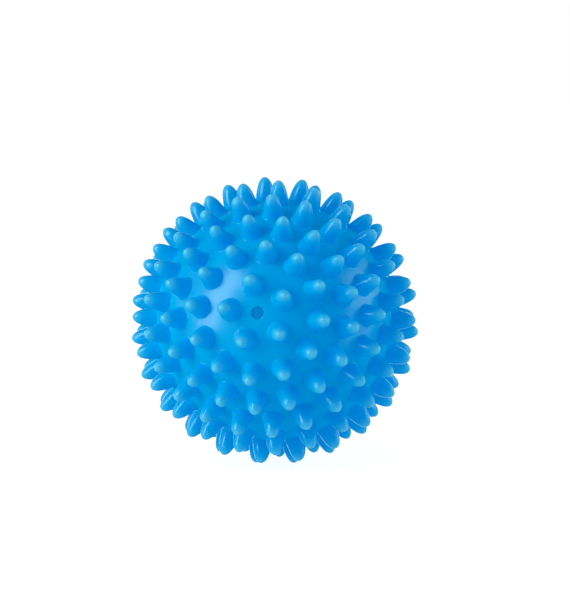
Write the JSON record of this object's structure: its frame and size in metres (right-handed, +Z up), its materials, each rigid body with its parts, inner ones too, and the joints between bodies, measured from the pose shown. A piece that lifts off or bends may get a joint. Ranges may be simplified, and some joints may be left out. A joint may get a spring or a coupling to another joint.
{
  "type": "massage ball",
  "caption": "Hollow soft PVC massage ball with moulded-in round-tipped spikes all over and a push-in inflation valve plug.",
  "frame": {"origin": "centre of the ball", "axes": "+Z up with the ball standing on the tips of three neighbouring spikes at z = -37 mm; the valve faces the front, -Y, and points 11.2 degrees upwards in the YZ plane; +X to the right seen from the front"},
  "size_m": [0.0746, 0.0749, 0.0746],
  "materials": {
    "skin": "semi-matte soft blue PVC with a soft sheen",
    "socket": "soft matte PVC insert",
    "plug": "semi-matte soft plastic"
  },
  "bodies": {
    "ball": {"ball_shell": "skin", "valve_socket": "socket"},
    "plug": {"valve_plug": "plug"}
  },
  "joints": [
    {"name": "plug_pull", "type": "slide", "parent": "ball", "child": "plug", "axis": [0, -0.9809, 0.1943], "range_m": [0, 0.02]}
  ]
}
